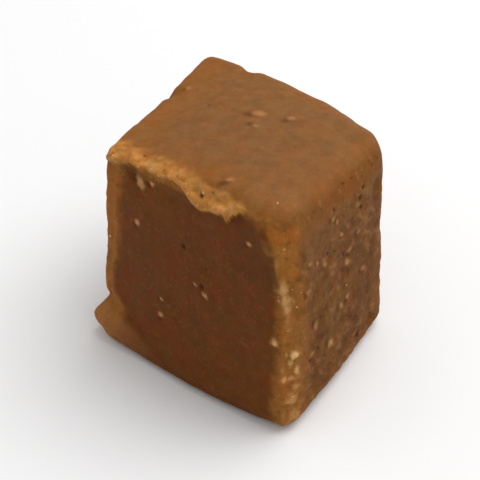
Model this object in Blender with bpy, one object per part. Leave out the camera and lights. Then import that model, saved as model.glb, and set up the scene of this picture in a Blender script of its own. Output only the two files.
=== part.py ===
"""One caramel fudge candy, cut by hand from a slab: an uneven block about 24 mm wide, 23 mm deep and high.

The front side (-Y) is the knife cut. Near the top and near the corner between it and the right side (+X) the
fudge broke instead of being cut, which left a torn lip and a crumbly strip standing proud of the cut face.
"""

import bmesh
import bpy
import numpy as np
from mathutils import noise

MM = 0.001  # the sizes below are in millimetres
GRID = 31  # faces along each side of the block
LIP_STEP = 0.4  # the width over which the lip falls to the cut face

# Corners of the block: x, y, z, and the radius to which the edges that meet there are worn.
CORNERS = {
    (-1, -1, -1): (-9.7, -9.8, 0.0, 1.7),
    (+1, -1, -1): (12.9, -11.2, 0.0, 1.7),
    (-1, +1, -1): (-11.6, 9.8, 0.0, 1.7),
    (+1, +1, -1): (10.9, 8.1, 0.0, 1.7),
    (-1, -1, +1): (-9.2, -8.1, 21.2, 0.8),
    (+1, -1, +1): (12.0, -10.8, 23.9, 3.2),
    (-1, +1, +1): (-11.6, 11.0, 20.1, 1.1),
    (+1, +1, +1): (11.0, 7.7, 21.5, 2.6),
}
HALF_SIZE = np.array([11.1, 9.6, 10.9])  # half the block's width, depth and height
HEART = np.array([0.0, 0.0, 10.5])  # the point inside the block that relief is pushed away from
EDGE_CROWDING = 1.1  # radians of a sine, which sets grid lines closer together near the edges

# How far the middle of an edge or a side bows out. A 0 in the key is the direction that it is the middle of.
BOWS = {
    (0, -1, -1): (0.0, -1.3, 0.0),
    (+1, 0, -1): (0.4, 0.0, 0.0),
    (0, +1, +1): (0.0, 1.4, 0.3),
    (-1, 0, 0): (-0.4, 0.0, 0.0),
    (0, -1, 0): (0.0, 0.2, 0.0),
    (+1, 0, 0): (0.2, 0.0, 0.0),
    (0, +1, 0): (0.0, 0.6, 0.0),
    (0, 0, +1): (0.0, 0.0, 0.5),
}

# The foot of the left front corner is squeezed out over the board, below a fold.
FOOT_CENTRE = np.array([-9.0, -8.9])
FOOT_PUSH = np.array([-1.05, -0.85, 0.0])
FOOT_REACH = 4.4
FOOT_TOP = 4.5
FOOT_TUCK = 0.6  # the share of the push that is missing at the board
FOOT_ROUND = 1.3  # the height over which it comes back
FOLD_WIDTH = 2.2
FOLD_SLOPE = 0.4  # the fold runs down by this much for each millimetre away from the corner
FOLD_DEPTH = 0.22
CREASE_WIDTH = 0.45

# The underside draws in this far between its corners, and its worn edges begin this far above it.
UNDERSIDE_WAIST = 0.15
UNDERSIDE_EDGE = 0.15

# The knife cut's outline on the front side. The lip hangs this far below the top edge, at distances from
# the left edge, and the strip is this wide along the near corner, at distances below the top edge.
FRONT_WIDTH = 22.3
FRONT_HEIGHT = 22.6
LIP_AT = (0.0, 1.4, 2.7, 5.1, 8.4, 9.6, 10.6, 12.0, 13.6, 14.6, 15.2, 15.8, 16.4, 18.4)
LIP_HANG = (1.4, 1.1, 0.7, 0.5, 0.5, 0.8, 1.7, 2.3, 1.9, 1.7, 2.3, 1.5, 0.9, 1.3)
STRIP_AT = (0.0, 1.5, 4.1, 5.4, 7.2, 8.7, 13.4, 14.8, 17.0, 19.9, 22.6)
STRIP_WIDTH = (4.4, 3.9, 2.6, 1.7, 1.2, 0.9, 1.1, 1.5, 1.2, 0.9, 1.2)
LIP_THICKNESS = 0.75
STRIP_THICKNESS = 0.34
LIP_CURL = 0.2  # the rim of the lip stands this much prouder
RAGGED_WIDTH = 0.3
RAGGED_LENGTH = 1.1

# How far the torn lip reaches back on to the top, at distances from the left edge.
REACH_AT = (0.0, 5.0, 8.0, 13.0, 16.0, 17.5)
REACH_BACK = (1.0, 1.25, 1.3, 0.8, 0.5, -0.4)
DEPTH = 19.2
TORN_HEIGHT = 0.2
TORN_LENGTH = 1.2

# The relief of the whole surface, from broad waves to the crumbs that are missing along the edges.
WAVE_HEIGHT = 0.2
WAVE_LENGTH = 8.0
LUMP_HEIGHT = 0.08
LUMP_LENGTH = 2.4
CRUMBLE_DEPTH = 0.5
CRUMBLE_LENGTH = 1.9
CRUMBLE_REACH = 1.0

# Dents and chips: which side (axis, sign), two places along the side from -1 to 1, radius and depth.
CHIPS = (
    ((0, +1), (0.72, 0.62), 1.6, 0.35),
    ((0, +1), (0.62, -0.78), 1.3, 0.4),
    ((2, +1), (-0.52, 1.0), 1.6, 0.4),
    ((2, +1), (-0.98, 0.2), 1.5, 0.4),
    ((1, +1), (0.85, -0.3), 2.0, 0.6),
    ((1, +1), (-0.35, 0.5), 1.5, 0.35),
    ((0, -1), (0.2, -0.85), 2.1, 0.6),
    ((0, -1), (-0.5, 0.35), 1.5, 0.35),
)


def clear_scene():
    for old in list(bpy.data.objects):
        bpy.data.objects.remove(old, do_unlink=True)


def smooth_step(value, start, end):
    t = np.clip((value - start) / (end - start), 0.0, 1.0)
    return t * t * (3.0 - 2.0 * t)


def lumps(points, length, seed, octaves=2):
    """Lumpy noise from about -1 to 1 at each point, its lumps about one length across."""
    places = points / length + 17.3 * seed
    return np.array([noise.fractal(place, 1.0, 2.0, octaves) for place in places.tolist()])


def across(cube, values):
    """A value for each corner, blended over the block. The cube's places run from -1 to 1 on each axis."""
    total = 0.0
    for signs, value in values.items():
        weight = np.prod((1.0 + np.array(signs) * cube) / 2.0, axis=1)
        total = total + weight[:, None] * np.atleast_1d(value)
    return total


def bowed(cube):
    """How far each place moves as the edges and the sides bow out."""
    moved = np.zeros_like(cube)
    for middle_of, bow in BOWS.items():
        signs = np.array(middle_of)
        weight = np.prod(np.where(signs == 0, 1.0 - cube**2, (1.0 + signs * cube) / 2.0), axis=1)
        moved += weight[:, None] * np.array(bow)
    return moved


def from_foot(points):
    """How far each place is from the squeezed corner, as a share of its reach, and how far below its fold."""
    away = np.linalg.norm(points[:, :2] - FOOT_CENTRE, axis=1)
    return away / FOOT_REACH, FOOT_TOP - FOLD_SLOPE * away - points[:, 2]


def foot(points):
    """The push outwards at the squeezed corner, which is round towards the board."""
    away, below_fold = from_foot(points)
    tucked = 1.0 - FOOT_TUCK * np.exp(-((points[:, 2] / FOOT_ROUND) ** 2))
    return (np.exp(-(away**2)) * smooth_step(below_fold, 0.0, FOLD_WIDTH) * tucked)[:, None] * FOOT_PUSH


def fold(points):
    """The crease above the squeezed corner."""
    away, below_fold = from_foot(points)
    return -FOLD_DEPTH * np.exp(-(away**2)) * np.exp(-((below_fold / CREASE_WIDTH) ** 2))


def standing(moved, along, outward):
    """Takes the moves off the underside, whose crisp edges draw in between its corners to stand firmly."""
    under = smooth_step(-outward[:, 2], 0.8, 1.0)[:, None]
    drawn_in = -UNDERSIDE_WAIST * along * (1.0 - along[:, [1, 0, 2]] ** 2)
    moved = moved * (1.0 - under) + drawn_in * under
    above = smooth_step(1.0 + outward[:, 2], 0.0, 0.01) * smooth_step(-outward[:, 2], 0.3, 0.8)
    moved[:, 2] += UNDERSIDE_EDGE * above
    return moved


def worn_block(cube):
    """Points of the block with its edges worn round, and their outward directions."""
    radius = across(cube, {signs: corner[3] for signs, corner in CORNERS.items()}) / HALF_SIZE
    inner = np.clip(cube, radius - 1.0, 1.0 - radius)
    outward = (cube - inner) / radius
    outward /= np.linalg.norm(outward, axis=1)[:, None]
    round_cube = inner + radius * outward
    points = across(round_cube, {signs: corner[:3] for signs, corner in CORNERS.items()})
    moved = bowed(round_cube)
    moved += foot(points + moved)
    return points + standing(moved, inner / (1.0 - radius), outward), outward


def inside_cut(cube, points):
    """How far each place lies inside the knife cut's ragged outline, in millimetres, negative outside it."""
    from_left = from_left_edge(cube)
    below_top = below_top_edge(cube)
    under_lip = below_top - np.interp(from_left, LIP_AT, LIP_HANG)
    beside_strip = FRONT_WIDTH - from_left - np.interp(below_top, STRIP_AT, STRIP_WIDTH)
    return np.minimum(under_lip, beside_strip) + RAGGED_WIDTH * lumps(points, RAGGED_LENGTH, 1)


def cut_relief(cube, inside, outward):
    """The lip and the strip are left standing, and the knife cut lies below them."""
    near_corner = smooth_step(cube[:, 0], 0.45, 0.75)
    thickness = LIP_THICKNESS + (STRIP_THICKNESS - LIP_THICKNESS) * near_corner
    step = LIP_STEP * (1.0 + 3.0 * near_corner * smooth_step(cube[:, 2], 0.1, 0.5))
    sunk = -thickness * smooth_step(inside / step, 0.0, 1.0) * (0.7 + 0.3 * np.exp(-np.maximum(inside, 0.0)))
    curl = LIP_CURL * np.exp(-(((inside + 0.35) / 0.45) ** 2)) * (1.0 - 0.5 * near_corner)
    return (sunk + curl) * smooth_step(-outward[:, 1], 0.35, 0.8)


def from_left_edge(cube):
    return (cube[:, 0] + 1.0) / 2.0 * FRONT_WIDTH


def below_top_edge(cube):
    return (1.0 - cube[:, 2]) / 2.0 * FRONT_HEIGHT


def behind_front(cube):
    return (cube[:, 1] + 1.0) / 2.0 * DEPTH


def torn_places(cube, points, outward, inside):
    """Where the fudge was torn, from 0 to 1: on the lip, and on the strip at the near corner."""
    below_top = below_top_edge(cube)
    outside = smooth_step(-inside, -0.04, 0.06)
    reach = np.interp(from_left_edge(cube), REACH_AT, REACH_BACK) + 0.45 * lumps(points, 1.4, 11)
    lip = smooth_step(reach - behind_front(cube), 0.0, 0.35) * (1.0 - smooth_step(below_top, 3.6, 4.4))
    lip *= smooth_step(outward[:, 0], -0.85, -0.5)
    strip = smooth_step(2.1 + 0.7 * lumps(points, 1.6, 12) - behind_front(cube), 0.0, 0.9)
    strip *= smooth_step(cube[:, 0], 0.8, 0.88) * smooth_step(below_top, 7.5, 10.5)
    return lip * outside, strip * outside


def edge_distance(cube):
    order = np.sort(np.abs(cube), axis=1)
    return (1.0 - order[:, 1]) * HALF_SIZE.mean()


def crumbled(cube, points):
    """Crumbs are missing along some stretches of the edges."""
    stretches = smooth_step(lumps(points, 6.0, 8), 0.0, 0.5)
    lost = np.clip(lumps(points, CRUMBLE_LENGTH, 2) - 0.05, 0.0, 1.0)
    return -CRUMBLE_DEPTH * lost * stretches * np.exp(-((edge_distance(cube) / CRUMBLE_REACH) ** 2))


def chip_centre(side, place):
    """Where a chip lies on the worn block."""
    axis, sign = side
    centre = np.zeros((1, 3))
    centre[0, axis] = sign
    centre[0, [other for other in range(3) if other != axis]] = place
    return worn_block(centre)[0][0]


def chipped(points):
    """Dents with uneven rims."""
    depth = np.zeros(len(points))
    uneven = 1.0 + 0.25 * lumps(points, 2.2, 3)
    for side, place, radius, deepest in CHIPS:
        away = np.linalg.norm(points - chip_centre(side, place), axis=1) / (radius * uneven)
        depth = np.maximum(depth, deepest * (1.0 - smooth_step(away, 0.1, 1.0)))
    return -depth


def fudge_surface(cube):
    """The candy's surface at each place of the cube, in millimetres."""
    points, outward = worn_block(cube)
    inside = inside_cut(cube, points)
    lip, strip = torn_places(cube, points, outward, inside)
    height = WAVE_HEIGHT * lumps(points, WAVE_LENGTH, 4)
    height += LUMP_HEIGHT * lumps(points, LUMP_LENGTH, 5)
    height += cut_relief(cube, inside, outward)
    height += crumbled(cube, points) + chipped(points) + fold(points)
    height += (lip + strip) * TORN_HEIGHT * lumps(points, TORN_LENGTH, 15)
    height *= 1.0 - smooth_step(-outward[:, 2], 0.55, 0.95)
    away = points - HEART
    away /= np.linalg.norm(away, axis=1)[:, None]
    points = points + away * (height / np.sum(away * outward, axis=1))[:, None]
    points[:, 2] = np.maximum(points[:, 2], 0.0)
    return points


def crowded(places):
    return np.sin(EDGE_CROWDING * places) / np.sin(EDGE_CROWDING)


def fudge_mesh(name):
    """A cube cut into a fine grid, with each point moved to the candy's surface."""
    grid = bmesh.new()
    bmesh.ops.create_cube(grid, size=2.0)
    bmesh.ops.subdivide_edges(grid, edges=grid.edges[:], cuts=GRID - 1, use_grid_fill=True)
    cube = crowded(np.array([vertex.co for vertex in grid.verts]))
    surface = fudge_surface(cube)
    middle = (surface.min(axis=0) + surface.max(axis=0)) / 2.0
    for vertex, point in zip(grid.verts, surface):
        vertex.co = ((point[0] - middle[0]) * MM, (point[1] - middle[1]) * MM, point[2] * MM)
    bmesh.ops.triangulate(grid, faces=grid.faces[:])
    bmesh.ops.recalc_face_normals(grid, faces=grid.faces[:])
    mesh = bpy.data.meshes.new(name)
    grid.to_mesh(mesh)
    grid.free()
    mesh.shade_smooth()
    return mesh


def fudge_material():
    material = bpy.data.materials.new("fudge")
    material.use_nodes = True
    shader = material.node_tree.nodes["Principled BSDF"]
    shader.inputs["Base Color"].default_value = (0.20, 0.085, 0.027, 1.0)
    shader.inputs["Roughness"].default_value = 0.6
    shader.inputs["Metallic"].default_value = 0.0
    return material


def make_candy():
    mesh = fudge_mesh("caramel")
    mesh.materials.append(fudge_material())
    candy = bpy.data.objects.new("caramel", mesh)
    bpy.context.scene.collection.objects.link(candy)


clear_scene()
make_candy()
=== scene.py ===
"""The looks of one caramel fudge candy: its fine surface, its colours, its loose grains, light and camera.

The candy's form is worked out as in the part's own script, on a finer grid and with finer relief, and then
set on the frame's solid. Lengths are in millimetres until they go into a mesh.
"""

import math

import bmesh
import bpy
import numpy as np
from mathutils import Matrix, Vector, noise


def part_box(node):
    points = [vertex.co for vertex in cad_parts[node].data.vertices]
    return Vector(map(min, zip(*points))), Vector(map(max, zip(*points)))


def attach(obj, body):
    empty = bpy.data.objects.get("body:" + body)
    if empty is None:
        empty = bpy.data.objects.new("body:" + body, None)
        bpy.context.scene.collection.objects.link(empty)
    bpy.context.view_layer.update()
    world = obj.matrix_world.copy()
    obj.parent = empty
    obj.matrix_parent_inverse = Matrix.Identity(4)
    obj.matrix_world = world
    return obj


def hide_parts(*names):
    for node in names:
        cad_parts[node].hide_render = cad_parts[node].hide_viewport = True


MM = 0.001

# Corners of the block: x, y, z, and the radius to which the edges that meet there are worn.
CORNERS = {
    (-1, -1, -1): (-9.7, -9.8, 0.0, 1.7),
    (+1, -1, -1): (12.9, -11.2, 0.0, 1.7),
    (-1, +1, -1): (-11.6, 9.8, 0.0, 1.7),
    (+1, +1, -1): (10.9, 8.1, 0.0, 1.7),
    (-1, -1, +1): (-9.2, -8.1, 21.2, 0.8),
    (+1, -1, +1): (12.0, -10.8, 23.9, 3.2),
    (-1, +1, +1): (-11.6, 11.0, 20.1, 1.1),
    (+1, +1, +1): (11.0, 7.7, 21.5, 2.6),
}
HALF_SIZE = np.array([11.1, 9.6, 10.9])  # half the block's width, depth and height
HEART = np.array([0.0, 0.0, 10.5])  # the point inside the block that relief is pushed away from
GRID = 126  # squares along each edge of the grid
EDGE_CROWDING = 1.1  # radians of a sine, which sets grid lines closer together near the edges

# How far the middle of an edge or a side bows out. A 0 in the key is the direction that it is the middle of.
BOWS = {
    (0, -1, -1): (0.0, -1.3, 0.0),
    (+1, 0, -1): (0.4, 0.0, 0.0),
    (0, +1, +1): (0.0, 1.4, 0.3),
    (-1, 0, 0): (-0.4, 0.0, 0.0),
    (0, -1, 0): (0.0, 0.2, 0.0),
    (+1, 0, 0): (0.2, 0.0, 0.0),
    (0, +1, 0): (0.0, 0.6, 0.0),
    (0, 0, +1): (0.0, 0.0, 0.5),
}

# The foot of the left front corner is squeezed out over the board, below a fold.
FOOT_CENTRE = np.array([-9.0, -8.9])
FOOT_PUSH = np.array([-1.05, -0.85, 0.0])
FOOT_REACH = 4.4
FOOT_TOP = 4.5
FOOT_TUCK = 0.6  # the share of the push that is missing at the board
FOOT_ROUND = 1.3  # the height over which it comes back
FOLD_WIDTH = 2.2
FOLD_SLOPE = 0.4  # the fold runs down by this much for each millimetre away from the corner
FOLD_DEPTH = 0.22
CREASE_WIDTH = 0.45  # the crease of the fold

# The underside draws in this far between its corners, and its worn edges begin this far above it.
UNDERSIDE_WAIST = 0.15
UNDERSIDE_EDGE = 0.15

# The knife cut's outline on the front side. The lip hangs this far below the top edge, at distances from
# the left edge, and the strip is this wide along the near corner, at distances below the top edge.
FRONT_WIDTH = 22.3
FRONT_HEIGHT = 22.6
DEPTH = 19.2
LIP_AT = (0.0, 1.4, 2.7, 5.1, 8.4, 9.6, 10.6, 12.0, 13.6, 14.6, 15.2, 15.8, 16.4, 18.4)
LIP_HANG = (1.4, 1.1, 0.7, 0.5, 0.5, 0.8, 1.7, 2.3, 1.9, 1.7, 2.3, 1.5, 0.9, 1.3)
STRIP_AT = (0.0, 1.5, 4.1, 5.4, 7.2, 8.7, 13.4, 14.8, 17.0, 19.9, 22.6)
STRIP_WIDTH = (4.4, 3.9, 2.6, 1.7, 1.2, 0.9, 1.1, 1.5, 1.2, 0.9, 1.2)
LIP_THICKNESS = 0.75
STRIP_THICKNESS = 0.34
STEP_WIDTH = 0.16  # the surface falls from the lip to the cut over this width
DRIP_STEP = 3.0  # and over this many times more beside the drip
FLAT_SHARE = 0.7  # the share of the fall that is left in the middle of the cut
LIP_CURL = 0.2  # the rim of the lip stands this much prouder
CURL_WIDTH = 0.45
CURL_OUTSIDE = 0.35  # how far outside the outline the rim is highest

# How far the torn lip reaches back on to the top, at distances from the left edge, how much further back its
# colour runs, and how far down it ends.
REACH_AT = (0.0, 5.0, 8.0, 13.0, 16.0, 17.5)
REACH_BACK = (1.0, 1.25, 1.3, 0.8, 0.5, -0.4)
FADE_AT = (0.0, 2.0, 4.0, 7.5, 9.5, 13.0)
FADE_BACK = (1.6, 1.1, 0.5, 0.6, 0.1, 0.0)
FADE_ENDS = (9.5, 12.0)
LIP_ENDS = (3.6, 4.4)

# The width of the band along the left edge of the front side that is painted paler, as a highlight where its
# rounded edge catches the light, at distances below the top edge.
BAND_AT = (0.0, 12.5, 14.0, 16.5, 18.0, 20.0, 22.6)
BAND_WIDTH = (1.25, 1.05, 0.5, 0.7, 2.4, 2.2, 1.6)

# Dents and chips: which side (axis, sign), two places along the side from -1 to 1, radius and depth.
CHIPS = (
    ((0, +1), (0.72, 0.62), 1.6, 0.35),
    ((0, +1), (0.62, -0.78), 1.3, 0.4),
    ((2, +1), (-0.52, 1.0), 1.6, 0.4),
    ((2, +1), (-0.98, 0.2), 1.5, 0.4),
    ((1, +1), (0.85, -0.3), 2.0, 0.6),
    ((1, +1), (-0.35, 0.5), 1.5, 0.35),
    ((0, -1), (0.2, -0.85), 2.1, 0.6),
    ((0, -1), (-0.5, 0.35), 1.5, 0.35),
)

# Scattered pits: the side (axis, sign), how many, and their least and greatest radius.
PITS = (
    ((0, +1), 16, 0.1, 0.2),
    ((0, -1), 26, 0.1, 0.26),
    ((1, +1), 28, 0.1, 0.28),
    ((1, -1), 5, 0.1, 0.16),
    ((2, +1), 5, 0.1, 0.15),
)
PIT_SPREAD = 0.93  # how near the edge of a side they come, which is at 1
PIT_BIAS = 2.2  # a higher power makes more of them small
PIT_DEPTH = 0.8  # as a share of a pit's radius

# Pits that the photo shows one by one: the side, two places along it from -1 to 1, and the radius.
SINGLE_PITS = (
    ((1, -1), (-0.13, 0.38), 0.32),
    ((1, -1), (0.07, 0.94), 0.32),
    ((1, -1), (-0.93, 0.96), 0.3),
    ((1, -1), (0.1, 0.06), 0.34),
    ((0, +1), (0.3, -0.74), 0.45),
    ((0, +1), (0.35, 0.67), 0.34),
    ((0, +1), (0.4, 0.75), 0.26),
    ((0, +1), (0.37, 0.57), 0.28),
    ((0, +1), (-0.16, 0.38), 0.24),
    ((0, +1), (0.02, 0.27), 0.24),
    ((0, +1), (-0.16, 0.78), 0.2),
    ((0, +1), (-0.3, 0.43), 0.2),
)

# Pale flakes and crystals in the surface that the photo shows one by one: the side, two places along it,
# length, width, and the turn in degrees from the first of those two directions towards the second.
MARKS = (
    ((1, -1), (-0.68, 0.82), 1.8, 1.1, -50),
    ((1, -1), (-0.55, 0.86), 0.7, 0.6, 0),
    ((1, -1), (-0.67, 0.4), 0.8, 0.65, 30),
    ((1, -1), (-0.34, -0.42), 0.75, 0.6, 60),
    ((1, -1), (-0.34, -0.25), 0.5, 0.4, 0),
    ((1, -1), (0.14, 0.0), 0.9, 0.5, -15),
    ((1, -1), (0.02, 0.06), 0.5, 0.4, 0),
    ((1, -1), (0.6, 0.68), 0.6, 0.5, 0),
    ((0, +1), (-0.18, 0.7), 0.9, 0.6, -35),
    ((0, +1), (-0.11, 0.65), 0.7, 0.5, -65),
    ((0, +1), (-0.01, 0.48), 0.7, 0.5, -15),
    ((0, +1), (0.32, 0.34), 0.7, 0.5, -40),
    ((0, +1), (-0.62, 0.48), 0.7, 0.5, 0),
    ((0, +1), (-0.49, 0.43), 0.7, 0.5, -50),
    ((0, +1), (-0.35, 0.35), 0.9, 0.6, -20),
    ((0, +1), (0.1, 0.15), 1.1, 0.8, -60),
    ((0, +1), (0.14, 0.25), 0.9, 0.6, 10),
    ((0, +1), (0.43, -0.1), 1.0, 0.65, -30),
    ((0, +1), (-0.66, 0.24), 0.95, 0.65, -20),
    ((0, +1), (-0.04, -0.22), 1.1, 0.75, -45),
    ((0, +1), (0.09, -0.2), 0.8, 0.6, 0),
    ((0, +1), (-0.53, -0.14), 1.1, 0.9, -70),
    ((0, +1), (-0.26, -0.48), 1.3, 0.9, -60),
    ((0, +1), (-0.61, -0.38), 0.9, 0.7, 20),
    ((2, +1), (0.24, -0.76), 1.1, 0.7, 40),
    ((2, +1), (-0.06, 0.24), 1.5, 1.0, 10),
    ((2, +1), (0.02, 0.05), 0.9, 0.6, -20),
    ((2, +1), (0.22, 0.36), 0.9, 0.8, 40),
    ((2, +1), (-0.85, 0.3), 0.6, 0.5, 0),
)
MARK_STRENGTH = {(1, -1): 0.95, (0, +1): 0.5, (2, +1): 0.5}
MARK_LAYER = 2.0  # a mark keeps within this distance of its own side
MARK_HEIGHT = 0.02
# The hollow beside each mark is sunk, and also darkened as painted shade.
BESIDE_MARK = (1.0, 0.8)  # where its dark hollow lies, in half lengths and half widths of the mark
BESIDE_DEPTH = 0.06

# Pale crumbs along the near corner: how far below the top edge and how far to the right of the corner each
# one lies, as the photo shows it, its height and width, and how pale it is.
CRUMBS = (
    (5.0, -1.05, 2.4, 0.45, 0.4),
    (7.2, -0.3, 1.7, 1.3, 0.75),
    (8.3, -0.2, 2.0, 1.3, 0.8),
    (9.3, 0.05, 1.7, 1.1, 0.7),
    (10.5, -0.1, 1.4, 0.9, 0.45),
    (11.6, 0.5, 1.4, 1.0, 0.3),
    (12.8, -1.3, 0.8, 0.65, 1.0),
    (13.9, -0.3, 0.8, 0.7, 0.65),
    (14.0, 0.5, 1.0, 0.85, 1.3),
    (14.8, 0.25, 1.1, 0.6, 0.8),
    (15.3, -0.8, 1.0, 0.7, 0.5),
    (15.7, 0.8, 1.4, 0.55, 0.85),
    (16.5, 0.35, 0.6, 0.9, 0.75),
    (16.4, -0.4, 0.8, 0.8, 0.75),
    (17.6, 0.6, 1.2, 0.8, 0.6),
    (18.8, 0.2, 1.7, 1.1, 0.65),
    (20.4, -0.6, 1.5, 0.9, 0.4),
    (20.7, 0.55, 1.9, 1.1, 0.6),
    (22.0, -0.2, 1.2, 1.5, 0.45),
)
CRUMB_HEIGHT = 0.1
ON_FRONT = 0.825  # how much narrower the corner's sides look from the camera
ON_RIGHT = 0.565

# The zone round the crumbs: its left and right outline, at distances below the top edge.
ZONE_AT = (0.0, 6.4, 7.4, 12.0, 18.5, 22.6)
ZONE_LEFT = (-1.0, -1.0, -1.05, -1.25, -1.45, -1.6)
ZONE_RIGHT = (0.8, 0.8, 0.9, 1.3, 0.9, 0.8)
ZONE_BEGINS = (6.2, 7.2)
CLEAR_OF_ZONE = 0.2  # the cut's dark patch reaches this far into it
ABOVE_ZONE = 3.0  # and this much further above it
ABOVE_ZONE_ENDS = (5.5, 7.0)

# The orange drip at the top of the near corner: its left and right outline, at distances below the top edge.
DRIP_AT = (0.0, 1.1, 3.3, 5.8, 6.7)
DRIP_LEFT = (-2.9, -2.6, -1.4, -1.0, -0.6)
DRIP_RIGHT = (1.8, 1.6, 1.15, 1.05, 0.7)
DRIP_BEGINS = (0.4, 2.2)
DRIP_ENDS = (6.3, 7.1)
# Painted shade beside the drip.
SHADE_FROM_LEFT = (15.0, 17.0)  # the dark patch beside the drip begins here
SHADE_BEGINS = (1.0, 2.5)
SHADE_ENDS = (6.5, 8.0)
PALE_ABOVE_DRIP = 19.0  # the top is paler round this place of its front edge
PALE_RADIUS = 3.0
PALE_ENDS = (0.5, 2.5)

# Painted light on the cut: it is paler close under the lip, between these distances from the left edge, and
# in its upper left.
NEAR_LIP = 0.5
NEAR_LIP_BEGINS = (1.5, 3.0)
NEAR_LIP_ENDS = (7.5, 10.0)
NEAR_LIP_DOWN = (3.0, 5.0)
UPPER_LEFT_DOWN = (2.0, 10.0)
UPPER_LEFT_ENDS = (6.0, 12.0)
UPPER_LEFT_SHARE = 0.5
CUT_BEGINS = -0.1  # the cut's colour begins this far inside its outline, so just outside
CUT_FULL = 0.3  # and is full this far inside
CUT_PALER = 0.07  # what is paler looks as if it lay this far inside

# How sharply the cut's dark patch ends: at the rim of the front side, at the pale band and at the zone.
RIM_SHARPNESS = 4.0
BAND_SHARPNESS = 0.4
ZONE_SHARPNESS = 0.5

# The top is worn orange behind the lip and at its left, and its front edge is less worn at the right.
BEHIND_LIP = 5.5
BEHIND_LIP_SOFT = 4.5
BEHIND_LIP_ENDS = (12.0, 19.0)
LEFT_TOP_ENDS = (1.0, 6.0)
LESS_WORN_FROM = (14.0, 19.0)

# Painted highlight: the cut's rim is pale just outside its outline. Painted shadow: the cut is dark just
# inside it, under the lip.
RIM_OUTSIDE = 0.16
RIM_WIDTH = 0.13
RIM_ENDS = (15.5, 17.0)
UNDER_LIP_INSIDE = 0.15
UNDER_LIP_WIDTH = 0.2
UNDER_LIP_BEGINS = (1.2, 2.2)
UNDER_LIP_ENDS = (4.0, 7.0)

# Spans over which a mask rises from 0 to 1: how squarely the surface faces a direction, where 1 is squarely,
# how far a place lies outside the cut, and how near the block's right front edge it lies.
PARTLY_FACING = (0.3, 0.8)
FACING = (0.5, 0.9)
FACING_FRONT = (0.2, 0.5)
CUT_FACING_FRONT = (0.35, 0.8)
LIP_NOT_LEFT = (-0.85, -0.5)
OUTSIDE_CUT = (-0.04, 0.06)
NEAR_CORNER = (1.15, 1.45)
LIP_TO_STRIP = (0.45, 0.75)

# The relief of the fine surface.
GRAIN_HEIGHT = 0.03
GRAIN_TOPS = 0.7  # what of a grain is higher than this stands out
LIP_LUMP_HEIGHT = 0.13
STRIP_LUMP_HEIGHT = 0.13
ROUGH_HEIGHT = 0.07
ROUGH_STRETCH = (1.0, 0.6, 0.8)  # how the crumbly grain of the other sides is drawn out by the knife
ROUGH_SLANT = (0.0, 0.0, 0.45)
CRUMBLE_DEPTH = 0.5
CRUMBLE_LEFT = 0.05  # noise up to this takes no crumbs away
CRUMBLE_REACH = 1.0  # how far from the edges crumbs are missing
EDGE_REACH = 1.9  # the worn colour of the edges reaches this far

# Unevenness: how much, the length of its lumps, a number that tells its noise from the others', and the
# octaves where they aren't 2. Outlines wander by a length, or by a share of their own size.
SEED_STEP = 17.3
WAVES = (0.2, 8.0, 4)
LUMPS = (0.08, 2.4, 5)
SKIN = (0.015, 0.55, 17, 3)
TORN_LUMPS = (0.2, 1.2, 15)
FINE_TORN_LUMPS = (0.04, 0.3, 19)
LIP_BULGES = (1.0, 0.95, 22)
LIP_GRAINS = (0.42, 16)
STRIP_BLOBS = (1.0, 1.0, 21, 3)
COARSE_GRAIN = (1.0, 0.75, 27, 3)
RAGGED = (0.3, 1.1, 1)
FINE_RAGGED = (0.12, 0.4, 6, 3)
CRUMBLE_STRETCHES = (1.0, 6.0, 8)
CRUMBLE_LUMPS = (1.0, 1.9, 2)
CHIP_OUTLINE = (0.25, 2.2, 3)
PIT_OUTLINE = (0.5, 0.35, 14)
MARK_OUTLINE = (0.4, 0.5, 20)
CRUMB_OUTLINE = (0.55, 0.6, 26)
REACH_WANDER = (0.45, 1.4, 11)
RIDGE_WANDER = (0.3, 2.2, 12)
ASIDE_WANDER = (0.25, 0.9, 28)
BAND_WANDER = (0.3, 0.9, 10)
FADE_WANDER = (0.8, 1.4, 32)
BEHIND_LIP_WANDER = (1.0, 3.0, 23)
LEFT_TOP_WANDER = (1.0, 3.0, 35)
BROKEN_PATCHES = (0.8, 0.6, 24)
FADE_PATCHES = (0.7, 0.9, 33)
DRIP_PATCHES = (0.5, 1.2, 34)
WORN_PATCHES = (0.5, 2.5, 13)
FOOT_PATCHES = (1.0, 1.3, 31)

# How strongly each place takes on each finish, painted highlight and painted shade, from 0 to 1.
TORN_SHARE = {"zone": 0.26, "crumbs": 0.95, "lit_band_and_foot": 0.12, "broken": 0.25, "above_drip": 0.2}
WORN_SHARE = {"behind_lip": 0.7, "left_top": 0.55, "zone": 0.6}
MILKY_SHARE = {"sides": 0.02, "upper": 0.2, "near_top": 0.35, "far_sides": 0.3}
# How much paler the foot is, and how much the band along the left edge is lightened as a painted highlight.
BLOOM_AND_HIGHLIGHT_SHARE = {"foot": 0.28, "lit_band_and_foot": 0.07}
# Painted shade beside the marks, under the lip and beside the drip.
PAINTED_SHADE_SHARE = {"beside": 0.55, "under_lip": 0.3, "shade": 0.2}
# Painted shade in the gaps between the lip's grains and bulges, the strip's blobs and the sides' rough
# grain.
GAP_SHARE = {"grains": 0.08, "bulges": 0.24, "blobs": 0.35, "rough": 0.4}
# Painted highlights on the cut's rim and on the tops of the rough grain and of the lip's bulges.
LIGHT_SHARE = {"cut_rim": 0.1, "rough": 0.2, "bulges": 0.25}

# The finishes, painted highlights and painted shade that the material reads, each an attribute of the
# candy's mesh.
FINISHES_AND_PAINTED_LIGHT = ("cut", "torn", "worn", "milky", "pale", "glow", "painted_shade", "mark")

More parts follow.
